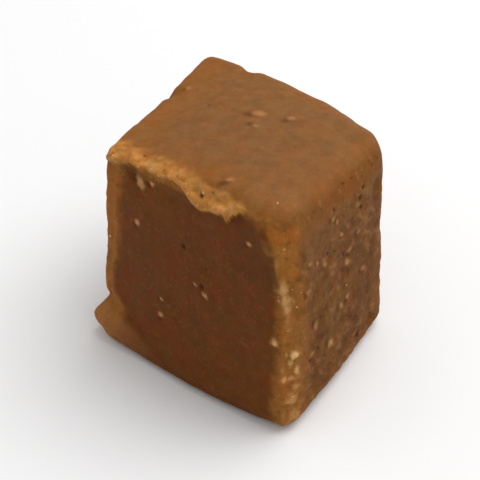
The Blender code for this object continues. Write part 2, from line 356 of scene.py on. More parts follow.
# Loose grains and crumbs: how many, their least and greatest width, how often their round shape is divided,
# how flat they may be, how deep they are sunk, and the seed of their places.
SUGAR_GRAINS = {"count": 45, "sizes": (0.12, 0.3), "divided": 1, "flattest": 0.55, "sunk": 0.75, "seed": 21}
FUDGE_CRUMBS = {"count": 60, "sizes": (0.2, 0.5), "divided": 2, "flattest": 0.5, "sunk": 0.85, "seed": 22}
SIZE_BIAS = 2.5  # a higher power makes more of them small
LUMPINESS = 0.25  # how far a lump's points move in or out, as a share of its radius
PITS_SEED = 7

# Colours, as linear red, green and blue.
PLAIN = (0.120, 0.042, 0.0085)
BLOOM = (0.150, 0.058, 0.010)
MILKY = (0.218, 0.094, 0.030)
WORN = (0.290, 0.096, 0.015)
GLOW = (0.310, 0.108, 0.016)
TORN = (0.465, 0.198, 0.046)
PALE_CRUMB = (0.660, 0.385, 0.155)
CUT = (0.136, 0.0405, 0.0080)
# Pale marks and specks; the same colour is used for painted highlights.
MARK = (0.500, 0.248, 0.102)
# Painted shade: the colour put in pits, gaps and hollows and under the lip.
PAINTED_SHADE_COLOUR = (0.042, 0.009, 0.0015)
SUGAR = (0.380, 0.205, 0.090)
FLOOR = (0.86, 0.86, 0.86)
RED_TINT = (1.05, 0.98, 0.95)
OLIVE_TINT = (0.95, 1.01, 1.00)
CUT_RED = (1.06, 0.95, 1.00)
CUT_OLIVE = (0.92, 1.05, 0.90)

# The camera of the photo, brought closer by its lens.
AZIMUTH = math.radians(34.4)
ELEVATION = math.radians(39.0)
DISTANCE = 185.0
AIM = np.array([0.4, -0.9, 10.4])
LENS = 150.0
SENSOR_WIDTH = 36.0

# The studio, in metres and watts.
SKY_STRENGTH = 0.62
KEY_PLACE = (0.12, 0.16, 0.42)
KEY_TARGET = (0.0, 0.0, 0.01)
KEY_SIZE = 0.45
KEY_POWER = 1.6
FLOOR_RADIUS = 1.8


def rise(value, start, end):
    """From 0 to 1, smoothly, as the value goes from start to end."""
    t = np.clip((value - start) / (end - start), 0.0, 1.0)
    return t * t * (3.0 - 2.0 * t)


def fall(value, start, end):
    """From 1 to 0, smoothly, as the value goes from start to end."""
    return 1.0 - rise(value, start, end)


def bell(value, width):
    """1 where the value is 0, and down to 0 on both sides."""
    return np.exp(-((value / width) ** 2))


def uneven(points, amount, length, seed, octaves=2):
    """Lumpy noise up to about the amount either way at each point, its lumps about one length across."""
    places = points / length + SEED_STEP * seed
    return amount * np.array([noise.fractal(place, 1.0, 2.0, octaves) for place in places.tolist()])


def grains(points, length, seed):
    """Round grains packed side by side: 1 on their tops, and down to 0 in the gaps between them."""
    places = points / length + SEED_STEP * seed
    nearest = np.array([noise.voronoi(place)[0][0] for place in places.tolist()])
    return 1.0 - np.minimum(nearest, 1.0) ** 2


def across(cube, values):
    """A value for each corner, blended over the block. The cube's places run from -1 to 1 on each axis."""
    total = 0.0
    for signs, value in values.items():
        weight = np.prod((1.0 + np.array(signs) * cube) / 2.0, axis=1)
        total = total + weight[:, None] * np.atleast_1d(value)
    return total


def bowed(cube):
    """How far each place moves as the edges and the sides bow out."""
    moved = np.zeros_like(cube)
    for middle_of, bow in BOWS.items():
        signs = np.array(middle_of)
        weight = np.prod(np.where(signs == 0, 1.0 - cube**2, (1.0 + signs * cube) / 2.0), axis=1)
        moved += weight[:, None] * np.array(bow)
    return moved


def from_foot(points):
    """How far each place lies from the squeezed corner, in shares of its reach, and below its fold."""
    away = np.linalg.norm(points[:, :2] - FOOT_CENTRE, axis=1)
    return away / FOOT_REACH, FOOT_TOP - FOLD_SLOPE * away - points[:, 2]


def foot(points):
    """The push outwards at the squeezed corner, which is round towards the board."""
    away, below_fold = from_foot(points)
    tucked = 1.0 - FOOT_TUCK * bell(points[:, 2], FOOT_ROUND)
    return (bell(away, 1.0) * rise(below_fold, 0.0, FOLD_WIDTH) * tucked)[:, None] * FOOT_PUSH


def standing(moved, along, outward):
    """Takes the moves off the underside, whose crisp edges draw in between its corners to stand firmly."""
    under = rise(-outward[:, 2], 0.8, 1.0)[:, None]
    drawn_in = -UNDERSIDE_WAIST * along * (1.0 - along[:, [1, 0, 2]] ** 2)
    moved = moved * (1.0 - under) + drawn_in * under
    above = rise(1.0 + outward[:, 2], 0.0, 0.01) * rise(-outward[:, 2], 0.3, 0.8)
    moved[:, 2] += UNDERSIDE_EDGE * above
    return moved


def worn_block(cube):
    """Points of the block with its edges worn round, and their outward directions."""
    radius = across(cube, {signs: corner[3] for signs, corner in CORNERS.items()}) / HALF_SIZE
    inner = np.clip(cube, radius - 1.0, 1.0 - radius)
    outward = (cube - inner) / radius
    outward /= np.linalg.norm(outward, axis=1)[:, None]
    round_cube = inner + radius * outward
    points = across(round_cube, {signs: corner[:3] for signs, corner in CORNERS.items()})
    moved = bowed(round_cube)
    moved += foot(points + moved)
    return points + standing(moved, inner / (1.0 - radius), outward), outward


class Places:
    """Places on the worn block: where each one lies, which way it faces, and the grain of the fudge there.

    Distances are from the front side's left edge, below its top edge, behind the front side, from the
    nearest edge of the block, and inside the knife cut's ragged outline, negative outside it.
    """

    def __init__(self, cube):
        self.cube = cube
        self.points, self.outward = worn_block(cube)
        self.facing_up = self.outward[:, 2]
        self.facing_front = -self.outward[:, 1]
        self.front = rise(self.facing_front, *FACING_FRONT)
        self.near_corner = rise(cube[:, 0] - cube[:, 1], *NEAR_CORNER)

        self.from_left = (cube[:, 0] + 1.0) / 2.0 * FRONT_WIDTH
        self.below_top = (1.0 - cube[:, 2]) / 2.0 * FRONT_HEIGHT
        self.behind = (cube[:, 1] + 1.0) / 2.0 * DEPTH
        self.from_edge = (1.0 - np.sort(np.abs(cube), axis=1)[:, 1]) * HALF_SIZE.mean()
        self.foot_away, self.below_fold = from_foot(self.points)
        self.inside = self.inside_cut()
        self.beside_band = self.from_left - self.down_front(BAND_AT, BAND_WIDTH) + self.uneven(BAND_WANDER)

        self.crumbled = self.crumbled_edges()
        self.packed = grains(self.points, *LIP_GRAINS)
        self.bulges = self.uneven(LIP_BULGES)
        self.blobs = self.uneven(STRIP_BLOBS)
        drawn_out = self.points * ROUGH_STRETCH + self.points[:, 1:2] * ROUGH_SLANT
        self.coarse = uneven(drawn_out, *COARSE_GRAIN)

    def uneven(self, kind):
        return uneven(self.points, *kind)

    def along_front(self, distances, values):
        return np.interp(self.from_left, distances, values)

    def down_front(self, distances, values):
        return np.interp(self.below_top, distances, values)

    def inside_cut(self):
        under_lip = self.below_top - self.along_front(LIP_AT, LIP_HANG)
        beside_strip = FRONT_WIDTH - self.from_left - self.down_front(STRIP_AT, STRIP_WIDTH)
        return np.minimum(under_lip, beside_strip) + self.uneven(RAGGED) + self.uneven(FINE_RAGGED)

    def crumbled_edges(self):
        """Crumbs are missing along some stretches of the edges."""
        stretches = rise(self.uneven(CRUMBLE_STRETCHES), 0.0, 0.5)
        lost = np.clip(self.uneven(CRUMBLE_LUMPS) - CRUMBLE_LEFT, 0.0, 1.0)
        return -CRUMBLE_DEPTH * lost * stretches * bell(self.from_edge, CRUMBLE_REACH)


def fold(at):
    """The crease above the squeezed corner."""
    return -FOLD_DEPTH * bell(at.foot_away, 1.0) * bell(at.below_fold, CREASE_WIDTH)


def cut_relief(at):
    """The lip and the strip are left standing, and the knife cut lies below them."""
    to_strip = rise(at.cube[:, 0], *LIP_TO_STRIP)
    thickness = LIP_THICKNESS + (STRIP_THICKNESS - LIP_THICKNESS) * to_strip
    step = STEP_WIDTH * (1.0 + DRIP_STEP * to_strip * rise(at.cube[:, 2], 0.1, 0.5))
    fallen = FLAT_SHARE + (1.0 - FLAT_SHARE) * np.exp(-np.maximum(at.inside, 0.0))
    curl = LIP_CURL * bell(at.inside + CURL_OUTSIDE, CURL_WIDTH) * (1.0 - 0.5 * to_strip)
    sunk = thickness * rise(at.inside / step, 0.0, 1.0) * fallen
    return (curl - sunk) * rise(at.facing_front, *CUT_FACING_FRONT)


def on_block(side, place):
    """Where a place of a side lies on the worn block. The place's two numbers run from -1 to 1."""
    axis, sign = side
    centre = np.zeros((1, 3))
    centre[0, axis] = sign
    centre[0, [other for other in range(3) if other != axis]] = place
    return worn_block(centre)[0][0]


def chipped(at):
    """Dents with uneven rims."""
    depth = np.zeros(len(at.points))
    rim = 1.0 + at.uneven(CHIP_OUTLINE)
    for side, place, radius, deepest in CHIPS:
        away = np.linalg.norm(at.points - on_block(side, place), axis=1) / (radius * rim)
        depth = np.maximum(depth, deepest * fall(away, 0.1, 1.0))
    return -depth


def torn_lip(at):
    """Where the lip is torn, from 0 to 1."""
    reach = at.along_front(REACH_AT, REACH_BACK) + at.uneven(REACH_WANDER)
    torn = rise(reach - at.behind, -0.5, 0.6) * fall(at.below_top, *LIP_ENDS)
    return torn * rise(at.outward[:, 0], *LIP_NOT_LEFT) * rise(-at.inside, *OUTSIDE_CUT)


def crumb_strip(at):
    """The pale crumbs at the near corner, how far aside of it each place lies, and the zone round them."""
    ridge = at.behind - (FRONT_WIDTH - at.from_left) + at.uneven(RIDGE_WANDER)
    aside = np.where(ridge < 0.0, ON_FRONT, ON_RIGHT) * ridge
    outline = 1.0 + at.uneven(CRUMB_OUTLINE)
    crumbs = np.zeros(len(aside))
    for below, right, height, width, pale in CRUMBS:
        away = np.hypot((at.below_top - below) / (height / 2.0), (aside - right) / (width / 2.0)) / outline
        crumbs = np.maximum(crumbs, pale * fall(away, 0.2, 1.5))
    rough_aside = aside + at.uneven(ASIDE_WANDER)
    zone = rise(rough_aside - at.down_front(ZONE_AT, ZONE_LEFT), -0.35, 0.45)
    zone *= rise(at.down_front(ZONE_AT, ZONE_RIGHT) - rough_aside, -1.5, 0.6)
    zone *= rise(at.below_top, *ZONE_BEGINS)
    return crumbs * at.near_corner, rough_aside, zone * at.near_corner


def drip(at, aside):
    """The orange drip, and the painted shade beside it."""
    left = at.down_front(DRIP_AT, DRIP_LEFT)
    glow = rise(aside - left, -0.2, 0.5) * rise(at.down_front(DRIP_AT, DRIP_RIGHT) - aside, -0.3, 0.4)
    glow *= rise(at.below_top, *DRIP_BEGINS) * fall(at.below_top, *DRIP_ENDS) * at.near_corner
    shade = at.front * rise(left - aside, -0.3, 0.4) * rise(at.from_left, *SHADE_FROM_LEFT)
    shade *= rise(at.below_top, *SHADE_BEGINS) * fall(at.below_top, *SHADE_ENDS)
    return glow, shade


def painted_light_on_cut(at):
    """Painted light on the cut: where it is paler close under the lip, and in its upper left."""
    near_lip = bell(at.inside - NEAR_LIP, NEAR_LIP) * rise(at.from_left, *NEAR_LIP_BEGINS)
    near_lip *= fall(at.from_left, *NEAR_LIP_ENDS) * fall(at.below_top, *NEAR_LIP_DOWN)
    upper_left = fall(at.below_top, *UPPER_LEFT_DOWN) * fall(at.from_left, *UPPER_LEFT_ENDS)
    return np.maximum(near_lip, UPPER_LEFT_SHARE * upper_left * rise(at.inside, 0.0, 0.5) * at.front)


def dark_cut(at, aside, shade, lit_cut):
    """How far inside the knife cut's dark patch each place lies. The patch ends more softly at its sides."""
    above_zone = ABOVE_ZONE * fall(at.below_top, *ABOVE_ZONE_ENDS)
    beside_zone = at.down_front(ZONE_AT, ZONE_LEFT) - aside + CLEAR_OF_ZONE + above_zone
    cut = np.min([
        at.inside,
        RIM_SHARPNESS * (at.front - 0.5),
        BAND_SHARPNESS * at.beside_band,
        ZONE_SHARPNESS * beside_zone,
    ], axis=0)
    # Painted shade: beside the drip the cut's dark patch reaches further out.
    cut = np.maximum(cut, CUT_FULL * shade + CUT_BEGINS)
    # Painted light: where the cut is lit under the lip and at its upper left, it is taken as lying only
    # CUT_PALER inside.
    full = np.minimum(cut, CUT_FULL)
    return np.where(cut > CUT_PALER, full + (CUT_PALER - full) * lit_cut, cut)


def torn_colour(at, lip, zone, crumbs, lit_band_and_foot):
    """Where the fudge has its torn colour: lip, crumbs, broken edges, and fading away behind the lip."""
    broken = rise(-at.crumbled, 0.02, 0.12) * rise(-at.inside, *OUTSIDE_CUT)
    broken *= np.clip(0.6 + at.uneven(BROKEN_PATCHES), 0.0, 1.0)
    reach = at.along_front(REACH_AT, REACH_BACK) + at.along_front(FADE_AT, FADE_BACK)
    faded = rise(reach + at.uneven(FADE_WANDER) - at.behind, -0.5, 0.8) * rise(at.facing_up, 0.2, 0.6)
    faded *= fall(at.from_left, *FADE_ENDS) * np.clip(0.7 + at.uneven(FADE_PATCHES), 0.0, 1.0)
    above_drip = bell(np.hypot(at.from_left - PALE_ABOVE_DRIP, at.behind), PALE_RADIUS)
    above_drip *= fall(at.below_top, *PALE_ENDS) * (0.7 + at.uneven(DRIP_PATCHES))
    torn = np.max([
        lip,
        faded,
        TORN_SHARE["zone"] * zone,
        TORN_SHARE["crumbs"] * crumbs,
        TORN_SHARE["lit_band_and_foot"] * lit_band_and_foot,
    ], axis=0)
    return np.clip(torn + TORN_SHARE["broken"] * broken + TORN_SHARE["above_drip"] * above_drip, 0.0, 1.0)


def worn_colour(at, edge, at_foot, lit_band_and_foot, zone, lit_cut):
    """Where the fudge has its worn, orange colour: edges and the top's front and left, with painted light on
    the band along the left edge and on the lit cut.
    """
    worn = np.clip(edge * (0.7 + at.uneven(WORN_PATCHES)), 0.0, 1.0)
    worn *= 1.0 - 0.5 * rise(at.facing_up, 0.1, 0.6) * rise(at.from_left, *LESS_WORN_FROM)
    on_top = rise(at.facing_up, *PARTLY_FACING)
    behind_lip = rise(BEHIND_LIP + at.uneven(BEHIND_LIP_WANDER) - at.behind, 0.0, BEHIND_LIP_SOFT) * on_top
    behind_lip *= fall(at.from_left, *BEHIND_LIP_ENDS)
    left_top = on_top * fall(at.from_left + at.uneven(LEFT_TOP_WANDER), *LEFT_TOP_ENDS)
    worn = np.max([
        worn,
        lit_band_and_foot,
        WORN_SHARE["behind_lip"] * behind_lip,
        WORN_SHARE["left_top"] * left_top,
        WORN_SHARE["zone"] * zone,
        lit_cut,
    ], axis=0)
    return worn * (1.0 - 0.35 * at_foot * rise(at.uneven(FOOT_PATCHES), 0.0, 0.6))


def milky_colour(at, side, edge):
    """Where the fudge has turned milky: all over the top, and faintly on the sides that weren't cut."""
    high = at.cube[:, 2]
    top = rise(at.facing_up, *FACING)
    near_top = rise(high, 0.1, 0.8) * rise(-at.cube[:, 1], -0.3, 0.5)
    far_sides = rise(np.maximum(-at.outward[:, 0], at.outward[:, 1]), *FACING)
    on_sides = MILKY_SHARE["sides"] + MILKY_SHARE["upper"] * rise(high, -0.3, 0.9)
    on_sides += MILKY_SHARE["near_top"] * near_top + MILKY_SHARE["far_sides"] * far_sides
    return np.clip(top + side * (1.0 - 0.8 * edge) * on_sides, 0.0, 1.0)


def finishes_and_painted_light(at):
    """Where each finish, painted light and painted shade lies, from 0 to 1, with "cut" as millimetres inside
    the knife cut's dark patch.
    """
    lip = torn_lip(at)
    crumbs, aside, zone = crumb_strip(at)
    glow, shade = drip(at, aside)
    lit_cut = painted_light_on_cut(at)
    at_foot = bell(at.foot_away, 1.0) * rise(at.below_fold, 0.2, 1.0)
    # A band along the left edge, painted paler as a highlight where the rounded edge catches the light,
    # joined with the foot.
    lit_band_and_foot = np.maximum(at.front * fall(at.beside_band, -0.6, 0.6), at_foot)
    edge = bell(at.from_edge, EDGE_REACH)
    torn = torn_colour(at, lip, zone, crumbs, lit_band_and_foot)
    side = rise(np.maximum(np.abs(at.outward[:, 0]), at.outward[:, 1]), *FACING)
    return {
        "cut": dark_cut(at, aside, shade, lit_cut),
        "torn": torn,
        "worn": worn_colour(at, edge, at_foot, lit_band_and_foot, zone, lit_cut),
        "milky": milky_colour(at, side, edge),
        "glow": glow * (1.0 - np.minimum(crumbs, 1.0)),
        "lip": lip,
        "zone": zone,
        "crumbs": crumbs,
        "shade": shade,
        "rough": side * fall(at.cube[:, 2], 0.6, 0.9) * (1.0 - np.max([glow, torn, zone], axis=0)),
        "bloom_and_highlight": np.maximum(BLOOM_AND_HIGHLIGHT_SHARE["foot"] * at_foot, BLOOM_AND_HIGHLIGHT_SHARE["lit_band_and_foot"] * lit_band_and_foot),
    }


def pit_places(rng):
    """Each pit's side, place and radius: the ones that are told apart, then the scattered ones."""
    yield from SINGLE_PITS
    for side, count, least, greatest in PITS:
        for _ in range(count):
            place = rng.uniform(-PIT_SPREAD, PIT_SPREAD, 2)
            yield side, tuple(place), least + (greatest - least) * rng.random() ** PIT_BIAS


def pitted(at):
    """The depth of the pits, and how much of each place they take up, from 0 to 1."""
    depth = np.zeros(len(at.points))
    taken = np.zeros(len(at.points))
    rim = 1.0 + at.uneven(PIT_OUTLINE)
    for side, place, radius in pit_places(np.random.default_rng(PITS_SEED)):
        away = np.linalg.norm(at.points - on_block(side, place), axis=1) / (radius * rim)
        bowl = fall(away, 0.2, 1.2)
        depth = np.maximum(depth, PIT_DEPTH * radius * bowl)
        taken = np.maximum(taken, bowl)
    return depth, taken


def marked(at):
    """How much of each place a pale mark and the hollow beside it, later painted with shade, take up, from 0
    to 1.
    """
    mark = np.zeros(len(at.points))
    beside = np.zeros(len(at.points))
    rim = 1.0 + at.uneven(MARK_OUTLINE)
    for side, place, length, width, turn in MARKS:
        axis = side[0]
        first, second = [other for other in range(3) if other != axis]
        offset = at.points - on_block(side, place)
        cosine = math.cos(math.radians(turn))
        sine = math.sin(math.radians(turn))
        along = (offset[:, first] * cosine + offset[:, second] * sine) / (length / 2.0)
        athwart = (offset[:, second] * cosine - offset[:, first] * sine) / (width / 2.0)
        own_side = np.abs(offset[:, axis]) <= MARK_LAYER
        away = np.hypot(along, athwart) / rim
        mark = np.maximum(mark, own_side * MARK_STRENGTH[side] * fall(away, 0.3, 1.25))
        away = np.hypot(along + BESIDE_MARK[0], athwart + BESIDE_MARK[1]) / rim
        beside = np.maximum(beside, own_side * fall(away, 0.3, 1.5))
    return mark, beside


def painted_shade_amount(at, finish_and_painted_light, taken, beside):
    """Painted shade: where the surface is darkened in pits and gaps, beside marks, under the lip and beside
    the drip, before the pale marks cover it.
    """
    # Painted shadow of the lip on the cut.
    under_lip = bell(at.inside - UNDER_LIP_INSIDE, UNDER_LIP_WIDTH) * (finish_and_painted_light["cut"] > 0.0)
    under_lip *= fall(at.below_top, *UNDER_LIP_ENDS) * rise(at.from_left, *UNDER_LIP_BEGINS)
    under_lip *= 1.0 - finish_and_painted_light["glow"]
    # Painted shade in the gaps between grains, bulges, blobs and the rough grain.
    gaps = finish_and_painted_light["lip"] * GAP_SHARE["grains"] * fall(at.packed, 0.35, 0.75)
    gaps += finish_and_painted_light["lip"] * GAP_SHARE["bulges"] * rise(-at.bulges, 0.1, 0.7)
    between_crumbs = 1.0 - np.minimum(finish_and_painted_light["crumbs"], 1.0)
    gaps += finish_and_painted_light["zone"] * GAP_SHARE["blobs"] * rise(-at.blobs, 0.0, 0.8) * between_crumbs
    gaps += finish_and_painted_light["rough"] * GAP_SHARE["rough"] * rise(-at.coarse, 0.15, 0.7)
    return np.max([
        # Painted shade in the pits.
        taken * (1.0 - finish_and_painted_light["glow"]),
        PAINTED_SHADE_SHARE["beside"] * beside,
        gaps,
        PAINTED_SHADE_SHARE["under_lip"] * under_lip,
        PAINTED_SHADE_SHARE["shade"] * finish_and_painted_light["shade"],
    ], axis=0)


def relief(at, finish_and_painted_light):
    """How far the surface stands out from the worn block, apart from pits and marks."""
    torn = finish_and_painted_light["torn"]
    height = at.uneven(WAVES) + at.uneven(LUMPS) + cut_relief(at) + at.crumbled + chipped(at) + fold(at)
    height += torn * (at.uneven(TORN_LUMPS) + at.uneven(FINE_TORN_LUMPS)) + (1.0 - torn) * at.uneven(SKIN)
    height += finish_and_painted_light["lip"] * (GRAIN_HEIGHT * (at.packed - GRAIN_TOPS) + LIP_LUMP_HEIGHT * at.bulges)
    height += finish_and_painted_light["zone"] * STRIP_LUMP_HEIGHT * at.blobs + finish_and_painted_light["crumbs"] * CRUMB_HEIGHT
    return height + finish_and_painted_light["rough"] * ROUGH_HEIGHT * at.coarse


def fudge_surface(cube):
    """The candy's surface at each place of the cube, and the finish, painted highlights and painted shade
    there.
    """
    at = Places(cube)
    finish_and_painted_light = finishes_and_painted_light(at)
    dull = 1.0 - finish_and_painted_light["glow"]
    depth, taken = pitted(at)
    mark, beside = marked(at)
    beside *= (1.0 - mark) * dull
    height = relief(at, finish_and_painted_light) + MARK_HEIGHT * mark - depth * (1.0 - mark) * dull - BESIDE_DEPTH * beside

    # Painted highlights: a pale line along the cut's rim and on the tops of the rough grain and the lip's
    # bulges, carried with the pale marks and crumbs.
    cut_rim = bell(at.inside + RIM_OUTSIDE, RIM_WIDTH) * at.front * fall(at.from_left, *RIM_ENDS)
    light = np.maximum(mark, finish_and_painted_light["bloom_and_highlight"]) + LIGHT_SHARE["cut_rim"] * cut_rim
    light += LIGHT_SHARE["rough"] * finish_and_painted_light["rough"] * rise(at.coarse, 0.15, 0.7)
    bulging = np.maximum(finish_and_painted_light["lip"] * rise(at.bulges, 0.0, 0.7), cut_rim * rise(at.bulges, -0.6, 0.4))
    # Painted shade, kept off the pale marks.
    finish_and_painted_light["painted_shade"] = np.clip(painted_shade_amount(at, finish_and_painted_light, taken, beside) * (1.0 - mark), 0.0, 1.0)
    finish_and_painted_light["mark"] = np.clip(light, 0.0, 1.0) * (1.0 - taken)
    finish_and_painted_light["pale"] = np.maximum(finish_and_painted_light["crumbs"], LIGHT_SHARE["bulges"] * bulging)

    height *= fall(-at.facing_up, 0.55, 0.95)
    away = at.points - HEART
    away /= np.linalg.norm(away, axis=1)[:, None]
    surface = at.points + away * (height / np.sum(away * at.outward, axis=1))[:, None]
    surface[:, 2] = np.maximum(surface[:, 2], 0.0)
    return surface, finish_and_painted_light


def crowded(places):
    """The grid's places from -1 to 1, with more of them near the edges."""
    return np.sin(EDGE_CROWDING * places) / np.sin(EDGE_CROWDING)


def add_piece(name, mesh, material):
    mesh.materials.append(material)
    piece = bpy.data.objects.new(name, mesh)
    bpy.context.scene.collection.objects.link(piece)
    return piece


def candy_piece():
    """The candy with its finishes, painted highlights and painted shade as attributes of its mesh, and how
    far it was moved to the frame.
    """
    grid = bmesh.new()
    bmesh.ops.create_cube(grid, size=2.0)
    bmesh.ops.subdivide_edges(grid, edges=grid.edges[:], cuts=GRID - 1, use_grid_fill=True)
    cube = crowded(np.array([vertex.co for vertex in grid.verts]))
    surface, finish_and_painted_light = fudge_surface(cube)
    lowest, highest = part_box("caramel")
    middle = (surface.min(axis=0) + surface.max(axis=0)) / 2.0
    frame_middle = np.array(lowest + highest) / 2.0 / MM
    shift = np.array([frame_middle[0] - middle[0], frame_middle[1] - middle[1], 0.0])
    for vertex, point in zip(grid.verts, (surface + shift) * MM):
        vertex.co = point
    bmesh.ops.recalc_face_normals(grid, faces=grid.faces[:])
    mesh = bpy.data.meshes.new("caramel_fudge")
    grid.to_mesh(mesh)
    grid.free()
    mesh.shade_smooth()
    for name in FINISHES_AND_PAINTED_LIGHT:
        mesh.attributes.new(name, "FLOAT", "POINT").data.foreach_set("value", finish_and_painted_light[name])
    return add_piece("caramel_fudge", mesh, fudge_material()), finish_and_painted_light, shift


def vertex_areas(mesh):
    """A quarter of the area of the faces round each vertex, which all have four sides."""
    areas = np.empty(len(mesh.polygons))
    mesh.polygons.foreach_get("area", areas)
    corners = np.empty(len(mesh.loops), dtype=int)
    mesh.loops.foreach_get("vertex_index", corners)
    return np.bincount(corners, weights=np.repeat(areas / 4.0, 4), minlength=len(mesh.vertices))


def sugar_density(finish_and_painted_light):
    """Sugar grains lie on the sides that the knife didn't cut, where they aren't worn or torn."""
    worn = np.maximum(finish_and_painted_light["glow"], finish_and_painted_light["worn"])
    open_sides = (1.0 - finish_and_painted_light["milky"]) * (finish_and_painted_light["cut"] < 0.0) * (1.0 - worn) * (1.0 - finish_and_painted_light["torn"])
    return 0.02 + 0.25 * open_sides


def crumb_density(finish_and_painted_light):
    """Loose crumbs lie where the fudge was torn."""
    return finish_and_painted_light["torn"] * (0.3 + finish_and_painted_light["pale"])


def scattered(name, mesh, density, material, count, sizes, divided, flattest, sunk, seed):
    """Many small lumps, joined in one mesh, lying on another mesh where the density says."""
    rng = np.random.default_rng(seed)
    places = np.empty(len(mesh.vertices) * 3)
    mesh.vertices.foreach_get("co", places)
    places = places.reshape(-1, 3)
    chance = np.clip(density, 0.0, None) * vertex_areas(mesh)
    chosen = rng.choice(len(places), count, replace=False, p=chance / chance.sum())
    lump = bmesh.new()
    bmesh.ops.create_icosphere(lump, subdivisions=divided, radius=1.0)
    corners = np.array([vertex.co for vertex in lump.verts])
    faces = np.array([[vertex.index for vertex in face.verts] for face in lump.faces])
    lump.free()
    least, greatest = sizes
    all_corners = []
    all_faces = []
    for index, vertex in enumerate(chosen.tolist()):
        radius = (least + (greatest - least) * rng.random() ** SIZE_BIAS) * MM / 2.0
        lumpy = rng.uniform(1.0 - LUMPINESS, 1.0 + LUMPINESS, (len(corners), 1))
        shape = corners * lumpy * rng.uniform(flattest, 1.0, 3)
        turn = Matrix.Rotation(rng.uniform(0.0, math.tau), 3, Vector(rng.normal(size=3)))
        normal = np.array(mesh.vertices[vertex].normal)
        all_corners.append(shape @ np.array(turn) * radius + places[vertex] + normal * radius * (0.5 - sunk))
        all_faces.append(faces + index * len(corners))
    all_corners = np.concatenate(all_corners)
    all_corners[:, 2] = np.maximum(all_corners[:, 2], 0.0)
    joined = bpy.data.meshes.new(name)
    joined.from_pydata(all_corners.tolist(), [], np.concatenate(all_faces).tolist())
    return add_piece(name, joined, material)


class Nodes:
    """Builds a material's nodes. What is given for a socket is a value or another node's socket."""

    def __init__(self, name):
        self.material = bpy.data.materials.new(name)
        self.material.use_nodes = True
        self.tree = self.material.node_tree
        self.shader = self.tree.nodes["Principled BSDF"]
        self.place = self.tree.nodes.new("ShaderNodeTexCoord").outputs["Object"]

    def give(self, socket, value):
        if isinstance(value, bpy.types.NodeSocket):
            self.tree.links.new(value, socket)
        elif hasattr(socket.default_value, "__len__") and len(socket.default_value) == 4:
            socket.default_value = (*value, 1.0)
        else:
            socket.default_value = value

    def shade(self, **values):
        """Sets the shader's own sockets, which are named in small letters here."""
        for name, value in values.items():
            self.give(self.shader.inputs[name.replace("_", " ").title().replace("Ior", "IOR")], value)

    def attribute(self, name):
        node = self.tree.nodes.new("ShaderNodeAttribute")
        node.attribute_name = name
        return node.outputs["Fac"]

    def noise(self, length, detail=2.0, roughness=0.55, drift=0.0):
        """Noise from 0 to 1 with lumps about one length in millimetres across."""
        node = self.tree.nodes.new("ShaderNodeTexNoise")
        node.noise_dimensions = "4D"
        self.give(node.inputs["Vector"], self.place)
        self.give(node.inputs["W"], drift)
        self.give(node.inputs["Scale"], 1.0 / (length * MM))
        self.give(node.inputs["Detail"], detail)
        self.give(node.inputs["Roughness"], roughness)
        return node.outputs["Fac"]

    def math(self, operation, first, second=0.0, third=0.0, clamp=False):
        node = self.tree.nodes.new("ShaderNodeMath")
        node.operation = operation
        node.use_clamp = clamp
        for socket, value in zip(node.inputs, (first, second, third)):
            self.give(socket, value)
        return node.outputs["Value"]

    def between(self, value, start, end, low=0.0, high=1.0):
        """From low to high, smoothly, as the value goes from start to end."""
        node = self.tree.nodes.new("ShaderNodeMapRange")
        node.interpolation_type = "SMOOTHSTEP"
        self.give(node.inputs["Value"], value)
        self.give(node.inputs["From Min"], start)
        self.give(node.inputs["From Max"], end)
        self.give(node.inputs["To Min"], low)
        self.give(node.inputs["To Max"], high)
        return node.outputs["Result"]

    def mix(self, amount, first, second):
        """From the first colour to the second. The colour sockets of this node have numbers only."""
        node = self.tree.nodes.new("ShaderNodeMix")
        node.data_type = "RGBA"
        self.give(node.inputs["Factor"], amount)
        self.give(node.inputs[6], first)
        self.give(node.inputs[7], second)
        return node.outputs[2]

    def scaled(self, colour, amount):
        node = self.tree.nodes.new("ShaderNodeVectorMath")
        node.operation = "SCALE"
        self.give(node.inputs[0], colour)
        self.give(node.inputs["Scale"], amount)
        return node.outputs["Vector"]

    def tinted(self, colour, tint):
        node = self.tree.nodes.new("ShaderNodeVectorMath")
        node.operation = "MULTIPLY"
        self.give(node.inputs[0], colour)
        self.give(node.inputs[1], tint)
        return node.outputs["Vector"]

    def bump(self, height, depth):
        """Fine relief so many millimetres deep."""
        node = self.tree.nodes.new("ShaderNodeBump")
        self.give(node.inputs["Height"], height)
        self.give(node.inputs["Distance"], depth * MM)
        return node.outputs["Normal"]


